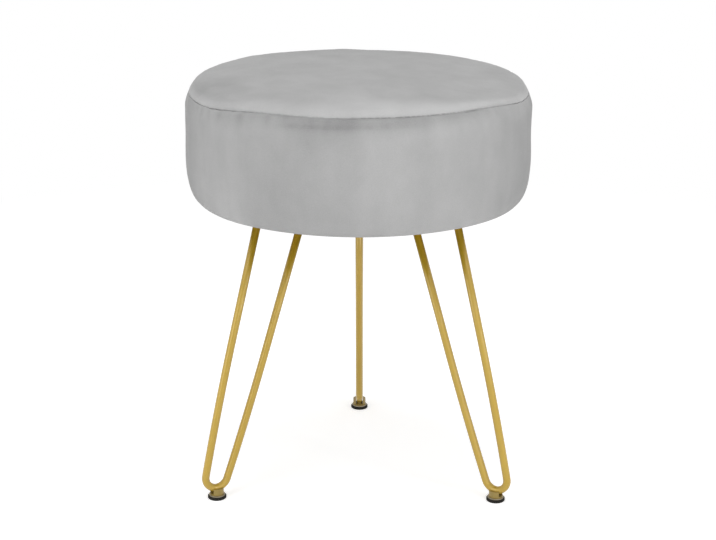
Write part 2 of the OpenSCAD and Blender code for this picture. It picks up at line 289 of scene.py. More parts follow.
def black_pad_finish():
    f = Finish("black_rubber")
    grain = f.noise(900, 2)
    scuffs = f.ramp(f.noise(160, 4, 0.7), (0.55, 0), (0.75, 1))
    colour = f.mix(scuffs * 0.5, (0.008, 0.007, 0.005), (0.03, 0.027, 0.022))
    pressed = f.bump(grain, 0.00006, 0.5)
    return f.surface(Base_Color=colour, Roughness=0.6 + grain * 0.2, Normal=pressed, gloss=0.25)


def dust_cloth_finish():
    """Thin black non-woven cloth with its pressed dots."""
    f = Finish("dust_cloth")
    fibres = f.noise(700, 3, 0.7)
    dots = f.node(
        "ShaderNodeTexVoronoi",
        {"feature": "F1"},
        {"Vector": f.place(), "Scale": 620.0, "Randomness": 0.15},
    )
    pressed = f.ramp(dots, (0.15, 0), (0.35, 1))
    colour = f.mix(fibres, (0.018, 0.018, 0.019), (0.045, 0.045, 0.047))
    cloth = f.bump(pressed, 0.00012, 0.6, f.bump(fibres, 0.0001, 0.5))
    return f.surface(Base_Color=colour, Roughness=0.85, Normal=cloth, gloss=0.2)


def plywood_finish():
    """Birch plies: long grain on the faces and stripes round the edge."""
    f = Finish("plywood")
    grain = f.noise(1, 5, 0.6, (22, 420, 22))
    plies = f.node(
        "ShaderNodeTexWave",
        {"bands_direction": "Z"},
        {"Vector": f.place(), "Scale": 90.0, "Distortion": 0.4, "Detail": 1.0},
    )
    tone = grain * 0.75 + plies * 0.35
    colour = f.mix(tone, (0.36, 0.21, 0.09), (0.64, 0.44, 0.23))
    return f.surface(Base_Color=colour, Roughness=0.6 + grain * 0.2, Normal=f.bump(grain, 0.0001, 0.4))


def foam_finish():
    f = Finish("foam")
    cells = f.node("ShaderNodeTexVoronoi", {}, {"Vector": f.place(), "Scale": 900.0})
    tone = f.noise(30, 3)
    colour = f.mix(tone, (0.70, 0.62, 0.38), (0.82, 0.75, 0.50))
    return f.surface(Base_Color=colour, Roughness=0.95, Normal=f.bump(cells, 0.0004, 0.8), gloss=0.1)


def wadding_finish():
    f = Finish("wadding")
    fibres = f.noise(1, 5, 0.75, (420, 160, 300))
    colour = f.mix(fibres, (0.72, 0.72, 0.70), (0.88, 0.88, 0.86))
    return f.surface(Base_Color=colour, Roughness=0.95, Normal=f.bump(fibres, 0.0008, 0.9), gloss=0.1)


def thread_finish():
    f = Finish("thread")
    twist = f.node(
        "ShaderNodeTexWave",
        {"bands_direction": "DIAGONAL"},
        {"Vector": f.place(), "Scale": 900.0, "Distortion": 1.0},
    )
    colour = f.mix(twist, (0.30, 0.30, 0.31), (0.46, 0.46, 0.47))
    return f.surface(Base_Color=colour, Roughness=0.7, Normal=f.bump(twist, 0.0001, 0.6))


VELVET = velvet_finish()
BRASS = brass_finish("satin_brass", (0.45, 0.287, 0.01), (0.53, 0.341, 0.024), 0.8)
# A darker copy of the brass: painted shade for the foot cradles and rivets under the rods' bends.
BRASS_PAINTED_SHADE = brass_finish("brass_painted_shade", (0.27, 0.19, 0.04), (0.35, 0.25, 0.065), 0.2)
DULL_METAL = dull_metal_finish()
ZINC = zinc_finish()
BLACK_PAD = black_pad_finish()
DUST_CLOTH = dust_cloth_finish()
PLYWOOD = plywood_finish()
FOAM = foam_finish()
WADDING = wadding_finish()
THREAD = thread_finish()


# Seat

CROWN_STEPS = 120
CORNER_STEPS = 24
SPIN_STEPS = 600

# The slack seat that the cloth simulation fills, and how far it may make a cover uneven
SLACK = 0.0025
SLACK_STEPS = 96
UNDER_MID_R = 0.07
VOXEL = 0.005
FILL_FRAMES = 20
FILL_PRESSURE = 4.0
SWELL = 0.0005

# Pleats where the band turns in under the board, with their height in mm
PLEATS = 52
PLEAT_R = 0.155
PLEAT_W = 0.005
PLEAT_END = 0.162
PLEAT_H = 0.9


def quarter(share, square):
    """Place on a squared quarter round, as shares of its width and height."""
    return sin(share * pi / 2) ** (2 / square), cos(share * pi / 2) ** (2 / square)


def crown_z(radius):
    return SEAM_Z + CROWN_H * (1 - min(1, radius / SEAM_R) ** 3)


def spaced(low, high, count):
    return [low + (high - low) * i / count for i in range(count)]


def seat_outline():
    """Half of the seat's outline, from the crown's middle to the edge turned in under the board."""
    points = [(r, crown_z(r)) for r in spaced(0, SEAM_R, CROWN_STEPS)]
    for i in range(CORNER_STEPS, -1, -1):
        up, out = quarter(i / CORNER_STEPS, 1.4)
        points.append((SEAT_R - (SEAT_R - SEAM_R) * (1 - out), SEAM_Z - SHOULDER_H * (1 - up)))
    for i in range(CORNER_STEPS, -1, -1):
        out, up = quarter(i / CORNER_STEPS, 2.5)
        points.append((SEAT_R - UNDER_IN * (1 - out), SEAT_Z + UNDER_H * (1 - up)))
    return points + [(TURN_IN_R, SEAT_Z)]


OUTLINE = seat_outline()
ALONG = [0.0]
for (r0, z0), (r1, z1) in zip(OUTLINE, OUTLINE[1:]):
    ALONG.append(ALONG[-1] + hypot(r1 - r0, z1 - z0))
SEAM_ALONG = ALONG[CROWN_STEPS]


def on_outline(along):
    """The radius and height at a length along the outline."""
    i = min(max(bisect(ALONG, along), 1), len(ALONG) - 1)
    share = (along - ALONG[i - 1]) / (ALONG[i] - ALONG[i - 1])
    (r0, z0), (r1, z1) = OUTLINE[i - 1], OUTLINE[i]
    return r0 + (r1 - r0) * share, z0 + (z1 - z0) * share


def facing(along):
    """The outward direction at a length along the outline."""
    (r0, z0), (r1, z1) = on_outline(along - MM), on_outline(along + MM)
    run, rise = r1 - r0, z1 - z0
    return -rise / hypot(run, rise), run / hypot(run, rise)


def spun(points, steps=SPIN_STEPS, **marks):
    """Spins a half outline once round the stool's axis. Each mark gives its points a value."""
    bm = bmesh.new()
    for name in marks:
        bm.verts.layers.float.new(name)
    verts = [bm.verts.new((r, 0, z)) for r, z in points]
    for name, values in marks.items():
        layer = bm.verts.layers.float[name]
        for v, value in zip(verts, values):
            v[layer] = value
    edges = [bm.edges.new(pair) for pair in zip(verts, verts[1:])]
    bmesh.ops.spin(
        bm, geom=verts + edges, cent=(0, 0, 0), axis=(0, 0, 1), angle=tau, steps=steps, use_merge=True
    )
    bmesh.ops.remove_doubles(bm, verts=bm.verts, dist=1e-6)
    bmesh.ops.recalc_face_normals(bm, faces=bm.faces)
    return bm


def from_front(place):
    """Degrees round the stool from its front, positive to the right."""
    return (degrees(atan2(place.y, place.x)) - degrees(FRONT) + 180) % 360 - 180


def outward(where):
    """Level direction away from the stool's axis, at degrees round from the front."""
    turn = radians(where) + FRONT
    return Vector((cos(turn), sin(turn), 0))


@cache
def read_round(stops, where):
    """Value of a smooth curve without overshoot through stops that go once round the stool."""
    low = [(p - 360, v) for p, v in stops[-2:]]
    high = [(p + 360, v) for p, v in stops[:2]]
    row = low + list(stops) + high
    i = next(i for i in range(2, len(row)) if where <= row[i][0])
    rises = [(d[1] - c[1]) / (d[0] - c[0]) for c, d in zip(row[i - 2 : i + 1], row[i - 1 : i + 2])]
    slopes = [2 * a * b / (a + b) if a * b > 0 else 0 for a, b in zip(rises, rises[1:])]
    (a, from_value), (b, to_value) = row[i - 1], row[i]
    t = (where - a) / (b - a)
    bend = t * (1 - t) * (b - a) * (slopes[0] * (1 - t) - slopes[1] * t)
    return from_value + (to_value - from_value) * t * t * (3 - 2 * t) + bend


def between(stops, where):
    """The same curve's value, read in steps of a hundredth of a degree."""
    return read_round(stops, round(where, 2))


def bell(value, middle, width):
    return exp(-(((value - middle) / width) ** 2))


def grain_at(where, along, across=1.0, seed=0.0):
    """Soft random value from -1 to 1 on the band: across is its size round the stool in degrees."""
    turn = radians(where)
    reach = 57.3 / across
    return noise.noise(Vector((cos(turn) * reach + seed, sin(turn) * reach, along)))


# How far the seam drops down the shoulder: degrees from the front and mm
SEAM_DROP = (
    (-160, 3.5), (-130, 2.5), (-105, 7.5), (-85, 10.2), (-68, 10.4), (-57, 9.4), (-48, 6.6),
    (-40, 3.6), (-32, 1.4), (-22, 0.0), (-10, -0.8), (4, -1.7), (16, -1.6), (30, -1.0), (40, 0.2),
    (50, 2.6), (60, 6.2), (72, 9.8), (86, 10.4), (104, 8.0), (125, 3.0), (150, 2.0), (175, 4.2),
)
SEAM_EASE = 0.045

# How deep the seam is drawn in: degrees from the front and a share
SEAM_DEPTH = (
    (-150, 1.0), (-115, 0.9), (-84, 0.25), (-52, 0.2), (-36, 0.8), (36, 1.0), (54, 0.5), (64, 0.2),
    (80, 0.2), (115, 0.9),
)

# The panel's rolled rim: degrees from the front and a share
RIM_ROLL = (
    (-160, 0.05), (-138, 0.6), (-118, 0.0), (-100, -0.3), (-75, -0.25), (-60, 0.3), (-42, 0.8),
    (0, 1.0), (42, 1.0), (60, 0.35), (75, -0.5), (100, -0.7), (118, -0.5), (135, -0.55),
    (155, -0.7), (176, -0.55),
)

# Painted highlight along the rim, partly paler stretched pile: degrees from the front, then strength or
# reach in mm
RIM_PAINTED_HIGHLIGHT = (
    (-150, 0.12), (-100, 0.12), (-74, 0.22), (-60, 0.22), (-52, 0.12), (-45, 0.10), (-38, 0.20),
    (-26, 0.18), (-8, 0.24), (4, 0.32), (24, 0.40), (42, 0.38), (52, 0.22), (64, 0.22), (80, 0.18),
)
RIM_REACH = (
    (-150, 18), (-74, 6), (-52, 7), (-38, 20), (-26, 26), (0, 42), (14, 32), (28, 24), (42, 14),
    (58, 8), (80, 6),
)

# Painted shade under the seam, partly darker crushed pile: degrees from the front, then strength or
# reach in mm
SEAM_PAINTED_SHADE = (
    (-150, 0.30), (-110, 0.15), (-80, 0.0), (-58, 0.0), (-46, 0.14), (-38, 0.16), (-31, 0.08),
    (-24, 0.20), (-14, 0.27), (10, 0.34), (30, 0.32), (42, 0.18), (56, 0.04), (66, -0.12),
    (76, -0.1), (90, 0.1), (130, 0.3),
)
SHADE_REACH = (
    (-150, 11), (-60, 8), (-44, 15), (-30, 12), (-18, 17), (4, 17), (18, 14), (30, 11), (44, 9),
    (56, 14), (68, 22), (80, 20), (120, 12),
)

# Painted light on the side band, paler to the front right and darker towards the sides: degrees from
# the front and strength
SIDE_PAINTED_LIGHT = (
    (-150, 0.02), (-90, -0.16), (-74, -0.14), (-62, -0.04), (-44, 0.02), (-31, -0.08), (-8, -0.06),
    (4, 0.0), (16, 0.06), (30, 0.08), (42, 0.04), (56, -0.04), (70, -0.22), (95, -0.20),
    (130, 0.02),
)

# Tucks under the seam: degrees from the front, then depth, width and length in mm
TUCKS = (
    (-61.5, 0.8, 5, 12), (-56.5, 0.7, 4.5, 11), (-51, 1.5, 8, 12), (-45.5, 0.4, 4, 9),
    (-41, 1.3, 7.5, 14), (-35, 0.5, 4, 9), (-30, 1.0, 6.5, 13), (-24, 0.4, 5, 10),
    (-15, 0.3, 7, 24), (-10, 0.4, 8, 26), (8, 0.3, 5, 12), (22, 0.3, 6, 12), (41, 0.2, 5, 8),
    (46, 0.7, 5, 9), (50, 0.4, 4, 9), (64, 0.2, 5, 12), (78, 0.5, 5, 14), (91, 0.9, 6, 16),
    (99, 0.6, 4, 12), (108, 0.8, 5, 15), (121, 0.5, 5, 12), (133, 0.9, 6, 17), (141, 0.5, 4, 11),
    (156, 0.7, 5, 14), (169, 1.0, 6, 16), (177, 0.6, 4, 12), (-172, 0.8, 5, 15), (-160, 0.5, 5, 12),
    (-151, 0.9, 5, 17), (-139, 0.6, 5, 12), (-127, 0.8, 6, 15), (-116, 0.5, 4, 12),
    (-104, 0.9, 5, 16), (-94, 0.6, 5, 12), (-76, 0.4, 5, 12),
)

# The second soft crease under the seam at the front: degrees from the front and a share
CREASE = ((-180, 0.0), (-30, 0.0), (-20, 0.9), (-5, 1.0), (12, 0.6), (26, 0.0))


# The covers' relief in mm: the rolled rim, the groove that the thread draws in, and the soft crease
RIM_RISE = 2.2
RIM_WIDE = 12
GROOVE_DEEP = 1.3
GROOVE_WIDE = 1.4
CREASE_DEEP = 0.5
CREASE_DOWN = 10
CREASE_WIDE = 1.8

# The panel's flat pocket at the left: degrees from the front, and mm
POCKET_AT = -72
POCKET_TURN = 16
POCKET_DEEP = 1.2


def tucks_at(where, down):
    """Depth in mm and painted shade of the tucks at a place under the seam, in mm down from it."""
    depth = shade = 0.0
    for middle, deep, wide, long in TUCKS:
        across = ((where - middle + 180) % 360 - 180) * radians(1) * SEAM_R / MM
        if abs(across) < 2.5 * wide:
            reach = deep * exp(-((down / long) ** 2))
            depth += reach * (bell(across, 0, wide / 2) - 0.3 * bell(across, 0, wide))
            shade += reach * bell(across, 0, wide * 0.7)
    return depth, shade


def drawn_in(where, from_seam):
    """How far the thread draws a cover in at the seam, in mm."""
    return GROOVE_DEEP * between(SEAM_DEPTH, where) * exp(-((from_seam / GROOVE_WIDE) ** 1.2))


def panel_relief(where, inward):
    """Relief of the top panel at a place, in mm in from the seam, and its painted highlight and shade.
    """
    roll = between(RIM_ROLL, where)
    rim = RIM_RISE * roll * (1 + 0.3 * grain_at(where, 0.3, 26))
    height = rim * (inward / RIM_WIDE) * exp(1 - inward / RIM_WIDE) - drawn_in(where, inward)
    # Painted highlight along the rim, partly paler stretched pile, fading inward from the seam.
    rim_highlight = exp(-((inward / between(RIM_REACH, where)) ** 3))
    rim_highlight *= 1 + 0.25 * grain_at(where, inward / 30, 14)
    nap = between(RIM_PAINTED_HIGHLIGHT, where) * rim_highlight * (1 - 0.35 * max(0, roll) * bell(inward, 0, 3.5))
    pocket = bell(where, POCKET_AT, POCKET_TURN)
    height -= POCKET_DEEP * pocket * bell(inward, 12, 6)
    # Painted shade in the flat pocket at the left.
    nap -= pocket * (0.14 * bell(inward, 15, 7) + 0.16 * bell(inward, 38, 18))
    height -= tucks_at(where, inward * 1.6)[0] * 0.3 * (1 - exp(-inward / 1.5))
    return height, nap


def band_relief(where, down):
    """Relief of the side band at a place, in mm down from the seam, and its painted shade and light."""
    height = -1.1 * between(SEAM_DEPTH, where) * bell(down, 1.6, 2.2) - drawn_in(where, down)
    crease = between(CREASE, where) * (1 + 0.6 * grain_at(where, 3.0, 2.5))
    height -= CREASE_DEEP * crease * bell(down, CREASE_DOWN, CREASE_WIDE)
    depth, dark = tucks_at(where, down)
    height -= depth * (1 - exp(-down / 1.5))
    # Painted shade under the seam, fading downward.
    shade = between(SEAM_PAINTED_SHADE, where) * (1 + 0.3 * grain_at(where, 4.0, 9))
    nap = -shade * exp(-((down / between(SHADE_REACH, where)) ** 2.5))
    # Painted shade in the soft crease and in the tucks.
    nap -= 0.14 * crease * bell(down, 11.5, 2.5) + 0.17 * dark * (1 - exp(-((down / 3) ** 2)))
    # Painted light across the side band.
    nap += between(SIDE_PAINTED_LIGHT, where)
    height += (0.8 * bell(where, 90, 40) + 0.4 * bell(where, -90, 30)) * bell(down, 85, 28)
    height += 0.9 * bell(abs(where), 50, 18) * bell(down, 112, 14)
    return height, nap


def slack_seat():
    """The seat as one closed bag, a little smaller than the covers, remeshed for the simulation."""
    outline = []
    for along in [0.0] + ALONG[1::4]:
        r, z = on_outline(along)
        out, up = facing(along) if along > MM else (0, 1)
        ease = SLACK * (1 - bell(along, SEAM_ALONG, 4 * MM)) if z > SEAT_Z + 2 * MM else 0
        outline.append((max(0, r - out * ease), z - up * ease))
    bm = spun(outline + [(UNDER_MID_R, SEAT_Z), (0, SEAT_Z)], SLACK_STEPS)
    mesh = bpy.data.meshes.new("slack_seat")
    bm.to_mesh(mesh)
    bm.free()
    seat = link(bpy.data.objects.new("slack_seat", mesh))
    remesh = seat.modifiers.new("remesh", "REMESH")
    remesh.mode = "VOXEL"
    remesh.voxel_size = VOXEL
    graph = bpy.context.evaluated_depsgraph_get()
    remeshed = bpy.data.meshes.new_from_object(seat.evaluated_get(graph))
    seat.modifiers.clear()
    seat.data = remeshed
    return seat


def mark_filling(seat):
    """Marks where the seat is held, on the board and along the seam, and how full it is."""
    held = seat.vertex_groups.new(name="held")
    full = seat.vertex_groups.new(name="full")
    for v in seat.data.vertices:
        r, z, where = hypot(v.co.x, v.co.y), v.co.z, from_front(v.co)
        seam_near = exp(-((hypot(r - SEAM_R, z - SEAM_Z) / (5 * MM)) ** 2))
        board = 1.0 if z < SEAT_Z + 4 * MM else 0.0
        grip = seam_near * (0.8 + 0.2 * grain_at(where, 3, 9))
        held.add([v.index], max(board, grip), "REPLACE")
        gathered = bell(z, SEAM_Z - 14 * MM, 16 * MM) if r > SEAM_R - 12 * MM else 0.2
        fullness = 1 - gathered * (0.7 + 0.7 * grain_at(where, z * 12, 18))
        full.add([v.index], min(1, max(0, fullness)), "REPLACE")


def fill(seat):
    """Fills the seat by a cloth simulation under pressure, and gives its points' new places."""
    cloth = seat.modifiers.new("fill", "CLOTH")
    cover = cloth.settings
    cover.quality = 5
    cover.mass = 0.4
    cover.tension_stiffness = cover.compression_stiffness = 20
    cover.bending_stiffness = 2.0
    cover.use_pressure = True
    cover.uniform_pressure_force = FILL_PRESSURE
    cover.vertex_group_mass = "held"
    cover.pin_stiffness = 1.0
    cover.vertex_group_shrink = "full"
    cover.shrink_min = -0.03
    cover.shrink_max = 0.0
    cover.effector_weights.gravity = 0
    cloth.point_cache.frame_start = 1
    cloth.point_cache.frame_end = FILL_FRAMES
    for step in range(1, FILL_FRAMES + 1):
        bpy.context.scene.frame_set(step)
    graph = bpy.context.evaluated_depsgraph_get()
    return [v.co.copy() for v in seat.evaluated_get(graph).to_mesh().vertices]


def filled_seat():
    """How far the filling moved each place of the slack seat, in a tree of the places."""
    seat = slack_seat()
    rest = [v.co.copy() for v in seat.data.vertices]
    mark_filling(seat)
    moves = [filled - place for filled, place in zip(fill(seat), rest)]
    bpy.context.scene.frame_set(1)
    bpy.data.objects.remove(seat)
    tree = KDTree(len(rest))
    for i, place in enumerate(rest):
        tree.insert(place, i)
    tree.balance()
    return tree, moves


def on_seat(where, along):
    """The place on the plain round seat at a length along its outline, and where it faces."""
    flat = outward(where)
    (r, z), (out, up) = on_outline(along), facing(along)
    return flat * r + Vector((0, 0, z)), flat * out + Vector((0, 0, up))


def pushed(place, normal):
    """How far the filling pushed a place outwards: a smooth mean of the nearest points."""
    tree, moves = FILLING
    total = weight = 0.0
    for _, index, distance in tree.find_n(place, 14):
        share = 1 / (distance + VOXEL) ** 2
        total += moves[index].dot(normal) * share
        weight += share
    return total / weight


@cache
def pushed_round(along):
    """The mean push round the seat at a length along its outline."""
    ring = range(-180, 180, 15)
    return sum(pushed(*on_seat(where, along)) for where in ring) / len(ring)


def swell(place, normal, along):
    """How unevenly the filling pushed a place outwards, within the cover's give."""
    return max(-SWELL, min(SWELL, pushed(place, normal) - pushed_round(round(along, 3))))


FILLING = filled_seat()


# The seam: how deep it lies, how it leans on the shoulder, where its allowance begins and the gap in it
SEAM_SUNK = 0.9 * MM
SEAM_LEAN = radians(80)
LEAN_DROP = 9 * MM
SEAM_LIP = 1.3 * MM
SEAM_GAP = 0.1 * MM

# Soft lumps of the padding: their height in mm, their width, and where they begin above the underside
LUMPS_H = 0.9
LUMPS_W = 0.055
LUMPS_LOW = SEAT_Z + 4 * MM
LUMPS_FADE = 20 * MM
LUMPS_PLACE = Vector((2, 5, 8))


def at_seam(where):
    """The seam's radius and height at degrees round from the front, and how far it leans out."""
    drop = between(SEAM_DROP, where) * MM
    r, z = on_outline(SEAM_ALONG + drop)
    out, up = facing(SEAM_ALONG + drop)
    lean = SEAM_LEAN * min(1, max(0, drop / LEAN_DROP))
    return r - out * SEAM_SUNK, z - up * SEAM_SUNK, lean


def turned_in(where, inward, side):
    """A place on the seam allowance, in mm in from the seam. Side is 1 for the band, else -1."""
    r, z, lean = at_seam(where)
    dip = SEAM_LIP + inward * MM
    r += side * cos(lean) * SEAM_GAP - sin(lean) * dip
    z -= side * sin(lean) * SEAM_GAP + cos(lean) * dip
    return outward(where) * r + Vector((0, 0, z))


def lumps_at(place, normal, along, from_seam):
    """How uneven the padding makes a cover, in mm."""
    fade = min(1, (place.z - LUMPS_LOW) / LUMPS_FADE)
    if fade <= 0:
        return 0.0
    height = LUMPS_H * fade * min(1, from_seam / 12)
    height *= noise.fractal(place / LUMPS_W + LUMPS_PLACE, 0.8, 2.0, 2)
    if FILLING:
        height += swell(place, normal, along) / MM * min(1, from_seam / 6) * fade
    return height


def pleats_at(place, where):
    """The height of the pleats round the turned-in edge, in mm."""
    r = hypot(place.x, place.y)
    if place.z >= SEAT_Z + MM or r >= PLEAT_END:
        return 0.0
    pleat = bell(r, PLEAT_R, PLEAT_W) * min(1, (PLEAT_END - r) / PLEAT_W)
    fold = max(0, sin(radians(where) * PLEATS + 2.5 * grain_at(where, 5.0, 12)))
    return PLEAT_H * pleat * fold ** 1.5


def on_cover(where, along, relief):
    """A place on a cover and its pile with painted light and shade: moved to the seam's path, drawn in,
    filled and pleated.
    """
    drop = between(SEAM_DROP, where) * MM
    along += drop * bell(along, SEAM_ALONG, SEAM_EASE)
    from_seam = abs(along - SEAM_ALONG - drop) / MM
    place, normal = on_seat(where, along)
    height, nap = relief(where, from_seam)
    height += lumps_at(place, normal, along, from_seam) + pleats_at(place, where)
    return place + normal * height * MM, nap


def sewn_cover(name, lengths, is_top, node):
    """One velvet cover, from its middle or lower edge to the allowance turned in at the seam."""
    side = -1 if is_top else 1
    seam_r, seam_z = on_outline(SEAM_ALONG)
    shown = [(*on_outline(along), along, ON_COVER) for along in lengths]
    hidden = [(seam_r, seam_z - inward, SEAM_ALONG, inward / MM) for inward in ALLOWANCE]
    rows = shown + hidden if is_top else hidden[::-1] + shown
    radii, heights, alongs, inwards = zip(*rows)
    bm = spun(zip(radii, heights), along=alongs, inward=inwards, nap=[0.0] * len(rows))
    along, inward, pile_and_light_layer = (bm.verts.layers.float[mark] for mark in ("along", "inward", "nap"))
    for v in bm.verts:
        if hypot(v.co.x, v.co.y) < 1e-5:
            continue
        where = from_front(v.co)
        if v[inward] > ON_COVER:
            v.co = turned_in(where, v[inward], side)
            # Painted shade on the allowance inside the seam, darker where the seam is drawn deeper.
            v[pile_and_light_layer] = 0.5 - 0.9 * between(SEAM_DEPTH, where)
        else:
            v.co, v[pile_and_light_layer] = on_cover(where, v[along], panel_relief if is_top else band_relief)
    bmesh.ops.recalc_face_normals(bm, faces=bm.faces)
    piece = finished(name, bm, VELVET, node)
    thick = piece.modifiers.new("thickness", "SOLIDIFY")
    thick.thickness = VELVET_T
    thick.offset = -1


def graded(low, high, fine, coarse):
    """Lengths from low to high whose steps grow from fine to coarse."""
    made, step = [low], fine
    while made[-1] + step < high:
        made.append(made[-1] + step)
        step = min(coarse, step * 1.12)
    return made


# How far the covers are turned in at the seam, and the mark of a point that isn't
ALLOWANCE = [0.0, 1.2 * MM, 2.6 * MM, 4.2 * MM, 6 * MM]
ON_COVER = -1.0

panel_steps = graded(0.0, SEAM_ALONG - 3 * MM, 0.6 * MM, 4.5 * MM)
band_steps = graded(0.0, ALONG[-1] - SEAM_ALONG - MM, 0.6 * MM, 3 * MM)
panel_lengths = [0.0] + [SEAM_ALONG - step for step in reversed(panel_steps)]
band_lengths = [SEAM_ALONG + step for step in band_steps] + [ALONG[-1]]
sewn_cover("top_panel", panel_lengths, True, "top_cover")
sewn_cover("side_band", band_lengths, False, "side_cover")


def sewing_thread():
    """The thread that joins the covers, inside the seam."""
    thread_r, dip, across = 0.4 * MM, 4.5 * MM, 2.15 * MM
    bm = bmesh.new()
    upright = Matrix.Rotation(pi / 2, 4, "X")
    ring = bmesh.ops.create_circle(bm, segments=8, radius=thread_r, matrix=upright)["verts"]
    bmesh.ops.translate(bm, verts=ring, vec=(SEAM_R, 0, 0))
    edges = list({e for v in ring for e in v.link_edges})
    bmesh.ops.spin(
        bm, geom=ring + edges, cent=(0, 0, 0), axis=(0, 0, 1), angle=tau, steps=360, use_merge=True
    )
    bmesh.ops.remove_doubles(bm, verts=bm.verts, dist=1e-6)
    for v in bm.verts:
        where = from_front(v.co)
        r, z, lean = at_seam(where)
        r += hypot(v.co.x, v.co.y) - SEAM_R - sin(lean) * dip - cos(lean) * across
        z += v.co.z - cos(lean) * dip + sin(lean) * across
        v.co = outward(where) * r + Vector((0, 0, z))
    bmesh.ops.recalc_face_normals(bm, faces=bm.faces)
    finished("sewing_thread", bm, THREAD, "seam_thread")


sewing_thread()


def inner_padding():
    """The wadding round the foam, and the foam on the board."""
    board_top = 0.3236
    gap = 3.4 * MM
    wadding_low = 14.2 * MM
    foam_high = 15 * MM
    side = [(r, z) for r, z in OUTLINE[CROWN_STEPS + 1 :] if SEAT_Z + gap < z < 0.4085]
    inner = [(0.1652, 0.330), (0.1662, 0.35), (0.1662, 0.395), (0.1640, 0.402), (0.158, 0.4078)]
    wadding = [(0, crown_z(0) - gap)]
    wadding += [(r, crown_z(r) - gap) for r in spaced(0.01, 0.156, 24)]
    wadding += [(0.158, 0.4200), (0.1608, 0.4165), (0.1608, 0.4112), (0.1684, 0.4095)]
    wadding += [(r - gap, z) for r, z in side]
    wadding += [(0.1606, SEAT_Z + gap), (0.1606, board_top + 0.0006)] + inner
    wadding += [(r, crown_z(r) - wadding_low) for r in spaced(0.150, 0.01, 14)]
    wadding += [(0, crown_z(0) - wadding_low)]
    foam = [(0, board_top + 0.0003), (0.150, board_top + 0.0003), (0.1640, board_top + 0.0012)]
    foam += [(r - 0.0008, z) for r, z in inner]
    foam += [(r, crown_z(r) - foam_high) for r in spaced(0.150, 0.01, 14)]
    foam += [(0, crown_z(0) - foam_high)]
    for name, outline, node, finish, slot in (
        ("wadding_wrap", wadding, "wadding", WADDING, "wadding"),
        ("foam_block", foam, "foam_pad", FOAM, "foam"),
    ):
        finished(name, spun(outline, 144), finish, node)


inner_padding()


# Legs

ROD_SIDES = 40
BEND_STEPS = 48
BOW_STEPS = 16


def line_angle(end_r, side):
    """Direction in a leg's plane, square to the rod's straight line to its end under the plate."""
    run, rise = end_r - FOOT_R, PLATE_Z - BEND_Z
    return atan2(rise, run) + side * acos(LINE_OFF / hypot(run, rise))


def in_plane(angle):
    return Vector((cos(angle), 0, sin(angle)))


def ring_edges(geometry):
    return [g for g in geometry if isinstance(g, bmesh.types.BMEdge)]


def leg_rod(name, turn):
    """One rod: bent round at the foot, slightly bowed above the bend, then straight to its cut ends."""
    near = line_angle(ROD_NEAR_R, 1) + BOW_TURN
    far = tau + line_angle(ROD_FAR_R, -1) - BOW_TURN
    centre = Vector((FOOT_R, 0, BEND_Z))
    bm = bmesh.new()
    start = Matrix.Translation(centre) @ Matrix.Rotation(-near, 4, "Y")
    start @= Matrix.Translation((BEND_R, 0, 0))
    ring = bmesh.ops.create_circle(bm, segments=ROD_SIDES, radius=ROD_R, matrix=start)["verts"]
    first = list({e for v in ring for e in v.link_edges})
    bend = bmesh.ops.spin(
        bm, geom=ring + first, cent=centre, axis=(0, -1, 0), angle=far - near, steps=BEND_STEPS
    )
    for edges, angle, side in ((first, near, -1), (ring_edges(bend["geom_last"]), far, 1)):
        verts = list({v for e in edges for v in e.verts})
        bow = bmesh.ops.spin(
            bm, geom=verts + edges, cent=centre - in_plane(angle) * (BOW_R - BEND_R), axis=(0, -1, 0),
            angle=side * BOW_TURN, steps=BOW_STEPS,
        )
        line = side * in_plane(angle + side * BOW_TURN + pi / 2)
        grown = bmesh.ops.extrude_edge_only(bm, edges=ring_edges(bow["geom_last"]))["geom"]
        ends = [g for g in grown if isinstance(g, bmesh.types.BMVert)]
        bmesh.ops.translate(bm, verts=ends, vec=line * PLATE_Z)
    cut = bmesh.ops.bisect_plane(
        bm, geom=bm.verts[:] + bm.edges[:] + bm.faces[:], plane_co=(0, 0, PLATE_Z), plane_no=(0, 0, 1),
        clear_outer=True,
    )
    bmesh.ops.edgeloop_fill(bm, edges=ring_edges(cut["geom_cut"]))
    bmesh.ops.remove_doubles(bm, verts=bm.verts, dist=1e-6)
    bmesh.ops.recalc_face_normals(bm, faces=bm.faces)
    bmesh.ops.rotate(bm, verts=bm.verts, matrix=Matrix.Rotation(turn, 3, "Z"))
    return finished(f"rod_{name}", bm, BRASS, f"leg_rod_{name}")


for leg, turn in LEG_TURNS.items():
    leg_rod(leg, turn)


# Underside


def dust_cloth():
    """The black cloth under the board, stretched between its staples."""
    board_z, lap_z, cloth_t = 0.3086, 0.3064, 0.0006
    flat_r, lap_r, edge_r = 0.134, 0.138, 0.152
    staples, staple_r = 18, 0.14825
    outline = [(0, board_z)]
    outline += [(r, board_z) for r in spaced(0.006, flat_r, 22)]
    outline += [(flat_r, board_z), (0.1352, board_z - cloth_t), (0.1366, lap_z + 0.4 * MM)]
    outline += [(lap_r, lap_z)]
    outline += [(r, lap_z) for r in spaced(0.140, edge_r, 8)]
    outline += [(edge_r, lap_z)]
    bm = spun(outline, 288)
    for v in bm.verts:
        r, angle = hypot(v.co.x, v.co.y), atan2(v.co.y, v.co.x)
        loose = (1 - cos(angle * staples)) / 2
        if r > lap_r - MM / 2:
            v.co.z -= 0.3 * MM * loose * min(1, (r - lap_r + MM / 2) / (4 * MM))
        if r > staple_r:
            v.co.xy *= 1 - 0.006 * loose * (r - staple_r) / (edge_r - staple_r)
    piece = finished("dust_cloth", bm, DUST_CLOTH, "dust_cover")
    thick = piece.modifiers.new("thickness", "SOLIDIFY")
    thick.thickness = cloth_t
    thick.offset = 1


dust_cloth()

